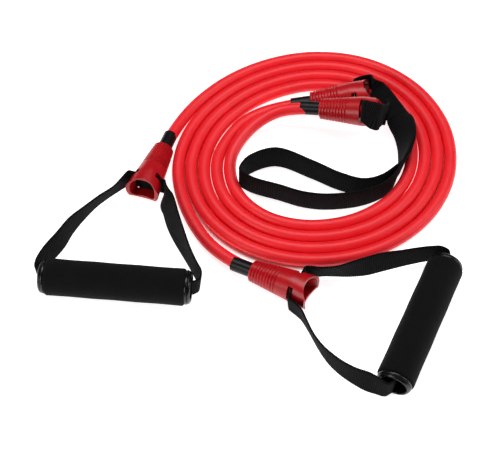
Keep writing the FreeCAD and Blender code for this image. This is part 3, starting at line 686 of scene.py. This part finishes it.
LEFT_OUTER_TURN, LEFT_INNER_TURN = 58.0, 78.0
RIGHT_UPPER_TURN, RIGHT_LOWER_TURN = 60.0, 54.0
LEFT_OUTER_LEG = [
    web(-123.2, 27.7, 14.7, 0.21, -0.23, 1, 23.5),
    web(-136.2, 15.7, 14.9, 0.21, -0.19, 1),
    web(-147.5, 2.7, 15.0, 0.13, -0.10, 1),
    web(-157.7, -10.7, 15.2, 0, 0.02, 1),
    web(-165.7, -26.1, 15.3, -0.11, 0.07, 1),
    web(-175.4, -41.0, 15.4, -0.12, 0.05, 1),
    by_grip(LEFT_GRIP, -1, 3.2, 10.5, 15.7, -0.06, 0.02, 1, 23.2),
    by_grip(LEFT_GRIP, -1, 3.4, 3.6, 16.0, -0.03, 0, 1, 22.0),
]
LEFT_INNER_LEG = [
    web(-75.4, 18.5, 13.7, 0.46, 0.17, 1),
    web(-72.7, 11.4, 13.8, 0.49, 0.16, 1),
    web(-68.9, -2.3, 14.0, 0.48, 0.17, 1),
    web(-64.0, -16.0, 14.2, 0.38, 0.15, 1),
    web(-58.6, -29.1, 14.4, 0.24, 0.11, 1),
    web(-53.2, -41.5, 14.6, 0.13, 0.07, 1),
    by_grip(LEFT_GRIP, 1, 0.5, 20.8, 14.9, 0.1, 0.04, 1, 24.0),
    by_grip(LEFT_GRIP, 1, 5.9, 10.7, 15.5, 0.14, 0, 1, 23.0),
    by_grip(LEFT_GRIP, 1, 5.9, 3.7, 16.0, 0.08, 0, 1, 21.8),
]
RIGHT_UPPER_LEG = [
    web(61.5, -58.4, 14.8, -0.03, -0.22, 1, 23.0),
    web(73.2, -57.9, 14.9, 0, -0.20, 1),
    web(86.8, -55.8, 15.0, 0, 0, 1),
    web(100.9, -52.7, 15.1, -0.06, 0.15, 1),
    web(114.6, -48.8, 15.3, -0.05, 0.16, 1),
    web(128.4, -45.8, 15.4, -0.03, 0.07, 1),
    web(142.3, -42.7, 15.5, -0.02, 0.02, 1),
    by_grip(RIGHT_GRIP, 1, 1.7, 17.0, 15.6, 0, 0, 1, 23.8),
    by_grip(RIGHT_GRIP, 1, 5.7, 9.0, 15.8, 0, 0, 1, 22.8),
    by_grip(RIGHT_GRIP, 1, 4.8, 2.1, 16.0, 0, 0, 1, 22.0),
]
RIGHT_LOWER_LEG = [
    web(42.5, -99.6, 14.8, -0.09, -0.04, 1, 23.0),
    web(48.2, -111.4, 14.9, -0.15, -0.07, 1),
    web(53.4, -123.3, 15.0, -0.17, -0.07, 1),
    web(59.4, -134.0, 15.1, -0.12, -0.06, 1),
    web(66.6, -143.2, 15.3, -0.04, -0.03, 1),
    web(75.1, -151.1, 15.4, 0, 0.02, 1),
    web(84.7, -157.7, 15.5, 0.04, 0.08, 1),
    by_grip(RIGHT_GRIP, -1, 4.9, 19.6, 15.6, 0.08, 0.18, 1, 24.6),
    by_grip(RIGHT_GRIP, -1, 5.1, 11.1, 15.8, 0.06, 0.12, 1, 23.5),
    by_grip(RIGHT_GRIP, -1, 5.2, 3.5, 15.9, 0.02, 0.04, 1, 22.0),
]
print("stations of the left legs", len(LEFT_OUTER_LEG), len(LEFT_INNER_LEG))
print("stations of the right legs", len(RIGHT_UPPER_LEG), len(RIGHT_LOWER_LEG))

# %% From slot to grip and back


def local_station(place, x, y, z, lean=0.0, width=CROSS_WIDTH, ahead=0.0):
    """Station in a connector's own frame; lean tips its width towards local Y, ahead towards X."""
    own = drawing_place(place)
    p = own @ Vector((x, y, z))
    w = own.to_3x3() @ Vector((ahead, lean, 1))
    return (p.x, p.y, p.z, w.x, w.y, w.z, width, WEB_THICK)


def wing_fold(place, side, rise=0.0, width=CROSS_WIDTH, turn=90.0):
    """Stations where the webbing leaves a side slot and folds by turn degrees, in order outwards."""
    out = []
    for share in range(5):
        a = math.radians(turn * share / 4)
        out.append(local_station(place, SLOT_X + WEB_BEND * (1 - math.cos(a)),
                                 side * (SLOT_Y + WEB_BEND * math.sin(a)), rise, 0.0, width))
    return out


def grip_stations(grip, direction):
    """Webbing through the grip; the lapped middle is two layers thick."""
    centre, axis = Vector(grip[0]), Vector(grip[1]).normalized()
    half = [(GRIP_REACH + 1.2, 1), (GRIP_REACH - 8.0, 1), (LAP_HALF + 1.0, 1), (LAP_HALF, 2)]
    out = []
    for s, layers in [(-s, layers) for s, layers in half] + half[::-1]:
        p = centre + axis * (s * direction)
        out.append((p.x, p.y, p.z, 0, 0, 1, BORE_WEB, WEB_THICK * layers))
    return out


def handle_stations(place, grip, side, first_turn, first_leg, second_turn, second_leg, direction):
    """The strap from one slot through the grip to the other slot, and the direction of its two ends."""
    start = wing_fold(place, side, turn=first_turn)
    finish = wing_fold(place, -side, turn=second_turn)[::-1]
    inside = grip_stations(grip, direction)
    go = catmull([start[-1]] + first_leg + [inside[0]], 6)
    back = catmull([inside[-1]] + second_leg[::-1] + [finish[0]], 6)
    out_y = drawing_place(place).to_3x3() @ Vector((0, side, 0))
    return start[:-1] + go[:-1] + inside + back[1:] + finish[1:], (out_y, out_y)


for side, place, grip, *route in (
        ("left", LEFT_CONE, LEFT_GRIP, -1,
         LEFT_OUTER_TURN, LEFT_OUTER_LEG, LEFT_INNER_TURN, LEFT_INNER_LEG, 1),
        ("right", RIGHT_CONE, RIGHT_GRIP, 1,
         RIGHT_UPPER_TURN, RIGHT_UPPER_LEG, RIGHT_LOWER_TURN, RIGHT_LOWER_LEG, -1)):
    stations, ends = handle_stations(place, grip, *route)
    strap = webbing(side + "_handle_strap", stations, ends)
    wear(strap, web_black)
    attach(strap, side + "_handle")
    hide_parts(side + "_handle_web")
    half = SLOT_Y - CUT_GAP
    across = [local_station(place, SLOT_X, y, 0.0) for y in (-half, -8.0, 0.0, 8.0, half)]
    crossing = webbing(side + "_strap_crossing", across)
    wear(crossing, web_black)
    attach(crossing, side + "_connector")
    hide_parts(side + "_web_crossing")

# %% [markdown]
# ## Anchor strap
#
# The long strap ties the two inner connectors to whatever holds the band. Its head comes up from the
# seam, folds round the far connector's wing, passes through both connectors and is sewn down on itself.
# Near the folds the webbing bunches up, so its stations are narrower there. Beyond the seam two layers
# run together, turn from flat to upright, then part into the long loop.

# %% Stations of the anchor strap
LAYER = WEB_THICK + 0.2        # spacing of layers that lie on one another
SEAM = Vector((138.4, 111.2, 16.5))
SEAM_AHEAD = Vector((0.580, -0.803, -0.136))
SEAM_WIDTH_DIR = Vector((0.792, 0.590, -0.107))


def seam_station(layer, back=0.0):
    """Webbing at the seam; layers are counted upwards from the middle surface."""
    p = SEAM - SEAM_AHEAD * back + SEAM_AHEAD.cross(SEAM_WIDTH_DIR).normalized() * (LAYER * layer)
    return web(*p, *SEAM_WIDTH_DIR)


STRAP_DOUBLED = [
    web(142.0, 104.8, 15.6, 0.80, 0.45, 0.34),
    web(144.6, 96.0, 14.8, 0.70, 0.17, 0.68),
    web(145.3, 84.0, 14.0, 0.54, 0.05, 0.84),
    web(143.8, 73.1, 13.4, 0.38, 0.0, 0.92),
    web(140.3, 60.5, 12.9, 0.20, 0.0, 0.98),
]
STRAP_LOWER = [
    web(127.0, 35.5, 12.7, 0, 0, 1),
    web(104.0, 21.8, 12.7, 0, 0, 1),
    web(70.0, 16.6, 12.7, 0, 0, 1),
    web(47.8, 19.2, 12.7, 0, 0, 1),
    web(26.0, 27.0, 12.7, 0, 0, 1),
    web(4.0, 34.4, 12.7, 0, 0, 1),
]
STRAP_TIP = [
    web(-4.8, 39.6, 12.7, 0, 0.02, 1),
    web(-9.2, 43.6, 12.8, 0, 0.04, 1),
    web(-7.8, 49.2, 12.9, 0, 0.08, 1),
]
STRAP_UPPER = [
    web(0.0, 58.4, 12.9, 0, 0.14, 1),
    web(23.8, 67.0, 12.9, 0, 0.14, 1),
    web(56.6, 52.6, 12.9, 0, 0.12, 1),
    web(81.0, 39.4, 12.8, 0, 0.08, 1),
    web(101.6, 33.2, 12.7, 0, 0.04, 1),
    web(117.5, 37.4, 12.7, 0, 0, 1),
    web(131.0, 47.5, 12.7, 0, 0, 1),
]
print("stations of the loop", 2 * len(STRAP_DOUBLED) + len(STRAP_LOWER + STRAP_TIP + STRAP_UPPER))

# %% Head of the anchor strap


def head_stations():
    """From the seam through the far connector and the near one, and back over the near one's mouth."""
    c, d = LEFT_ANCHOR_CONE, RIGHT_ANCHOR_CONE
    far = wing_fold(c, 1, 1.0, 12.0)
    near = wing_fold(d, -1)
    go = [
        seam_station(0.5, 0.2),
        seam_station(0.6, 3.0),
        web(133.4, 118.0, 18.3, 0.72, 0.68, 0.14),
        web(128.0, 125.1, 20.8, 0.62, 0.76, 0.22),
        web(122.1, 131.6, 23.2, 0.35, 0.83, 0.42),
        web(116.9, 136.6, 25.0, 0.15, 0.78, 0.60),
        local_station(c, 60.2, 13.5, 0.8, 0.35, 18.5),
        local_station(c, 57.0, 17.8, 0.6, 0.15, 16.0),
        local_station(c, 51.0, 18.7, 1.0, 0.05, 13.5),
        far[-1],
    ]
    through = [
        far[0],
        local_station(c, SLOT_X, 9.5, 0.8, 0.0, 17.0),
        local_station(c, SLOT_X, 0.0, 0.0, 0.0, CROSS_WIDTH),
        local_station(c, SLOT_X, -8.5, 0.0, 0.0, 16.0),
        local_station(c, SLOT_X - 0.2, -14.0, 0.0, 0.0, 10.0),
        local_station(c, SLOT_X + 1.3, -16.6, 0.0, 0.0, 9.0),
        local_station(d, 41.0, 16.2, 0.4, 0.0, 9.0),
        local_station(d, SLOT_X - 0.7, 13.0, 0.2, 0.0, 9.0),
        local_station(d, SLOT_X, 8.0, 0.0, 0.0, 16.0),
        local_station(d, SLOT_X, 0.0, 0.0, 0.0, CROSS_WIDTH),
        near[0],
    ]
    back = [
        near[-1],
        local_station(d, 51.5, -18.4, -2.6, 0.0, 23.0),
        local_station(d, 57.0, -17.5, -5.2, 0.0, WEB_WIDTH, 0.05),
        local_station(d, 59.2, -12.5, -4.8, 0.0, 23.6, 0.13),
        local_station(d, 59.2, -3.5, -3.2, 0.0, 22.6, 0.22),
        local_station(d, 59.8, 5.6, -1.0, 0.0, 21.6, 0.26),
        web(125.6, 109.6, 25.6, 0.22, 0.86, 0.46),
        web(127.6, 112.6, 22.0, 0.32, 0.92, 0.24),
        web(129.3, 112.5, 21.0, 0.38, 0.91, 0.14, 21.0),
    ]
    stations = catmull(go, [1] + [6] * (len(go) - 2))[:-1] + far[::-1] + catmull(through, 4)[1:-1]
    return stations + near + catmull(back, 6)[1:]


head = webbing("anchor_head_strap", head_stations(), (-SEAM_AHEAD, None))
wear(head, web_black)
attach(head, "coil")
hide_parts("anchor_strap_head")

# %% Loop of the anchor strap


def offset_station(before, s, after, amount):
    """Move a station along the webbing's normal."""
    along = (Vector(after[:3]) - Vector(before[:3])).normalized()
    across = Vector(s[3:6])
    across = (across - along * across.dot(along)).normalized()
    p = Vector(s[:3]) + along.cross(across) * amount
    return (*p, *s[3:])


def loop_stations():
    """Out along one layer, round the loop and back along the other."""
    line = [seam_station(0.0)] + STRAP_DOUBLED
    outer, inner = [], []
    for i, s in enumerate(line):
        before = line[i - 1] if i else (*(SEAM - SEAM_AHEAD * 10), *s[3:])
        after = line[i + 1] if i + 1 < len(line) else STRAP_LOWER[0]
        outer.append(offset_station(before, s, after, LAYER / 2))
        inner.append(offset_station(before, s, after, -LAYER / 2))
    return catmull(outer + STRAP_LOWER + STRAP_TIP + STRAP_UPPER + inner[::-1], 6)


loop = webbing("anchor_loop_strap", loop_stations(), (SEAM_AHEAD, -SEAM_AHEAD))
wear(loop, web_black)
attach(loop, "anchor_loop")
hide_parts("anchor_strap_loop")

# %% [markdown]
# ## Floor and light
#
# The photograph is a plain product shot on white: one broad soft source above and behind that puts a pale
# shine on the tubes, weaker ones from both sides, and almost no shadow. Three large area lamps and a dim
# white world give that light. The floor is white paper that glows a little, which takes the shadows off
# it. Between the strands of the coil a real floor gets no light, so the glow is left out of an oval band
# there, and the gaps stay deep red.

# %% Floor
FLOOR_HALF = 4.0
FLOOR_DROP = 0.0004
GLOW_BAND = (0.70, 0.74, 0.89, 0.93)     # the band's soft edges, as shares of the coil's outer oval
work = bmesh.new()
bmesh.ops.create_grid(work, x_segments=1, y_segments=1, size=FLOOR_HALF)
floor = add_piece("floor", work)
floor.location = (0, 0, -FLOOR_DROP)
floor_white, floor_shader = new_finish("white_paper_sweep", Roughness=0.9, Specular_IOR_Level=0.1,
                                       Emission_Strength=0.8)
floor_shader.inputs["Base Color"].default_value = hex_colour("#F6F6F6")
place = add_node(floor_white, "ShaderNodeTexCoord").outputs["Object"]
oval = add_node(floor_white, "ShaderNodeMapping", {"vector_type": "TEXTURE"}, Vector=place)
oval.inputs["Location"].default_value = TO_SCENE @ Vector((*COIL_CENTRE, 0.0))
oval.inputs["Rotation"].default_value = (0.0, 0.0, math.radians(COIL_OVAL[1]))
oval.inputs["Scale"].default_value = ((COIL_RADIUS + COIL_OVAL[0]) * MM,
                                      (COIL_RADIUS - COIL_OVAL[0]) * MM, 1.0)
outward = add_node(floor_white, "ShaderNodeVectorMath", {"operation": "LENGTH"},
                   i0=oval.outputs["Vector"])
glow = add_node(floor_white, "ShaderNodeValToRGB", i0=outward.outputs["Value"])
for element, position in zip(glow.color_ramp.elements, (GLOW_BAND[0], GLOW_BAND[3])):
    element.position = position
    element.color = (1.0, 1.0, 1.0, 1.0)
for position in GLOW_BAND[1:3]:
    glow.color_ramp.elements.new(position).color = (0.02, 0.02, 0.02, 1.0)
join(floor_white, glow.outputs["Color"], floor_shader, "Emission Color")
wear(floor, floor_white)
print("made", floor.name, "in", floor_white.name)

# %% Lamps and world


def soft_box(name, place, size, power):
    """A soft box at a place in metres, aimed at the middle of the object; its power is in watts."""
    lamp_data = bpy.data.lights.new(name, "AREA")
    lamp_data.shape = "RECTANGLE"
    lamp_data.size, lamp_data.size_y = size
    lamp_data.energy = power
    lamp = bpy.data.objects.new(name, lamp_data)
    lamp.location = place
    lamp.rotation_euler = (-Vector(place)).to_track_quat("-Z", "Y").to_euler()
    bpy.context.scene.collection.objects.link(lamp)


soft_box("top_box", (0.0, 0.45, 1.5), (1.5, 0.7), 19.0)
soft_box("left_box", (-1.1, -1.0, 0.8), (0.6, 0.8), 9.0)
soft_box("right_box", (1.3, -0.1, 0.8), (0.5, 0.8), 5.5)
world = bpy.data.worlds.new("white_room")
world.use_nodes = True
world.node_tree.nodes["Background"].inputs["Color"].default_value = (1.0, 1.0, 1.0, 1.0)
world.node_tree.nodes["Background"].inputs["Strength"].default_value = 0.06
bpy.context.scene.world = world
bpy.context.scene.view_settings.view_transform = "Standard"
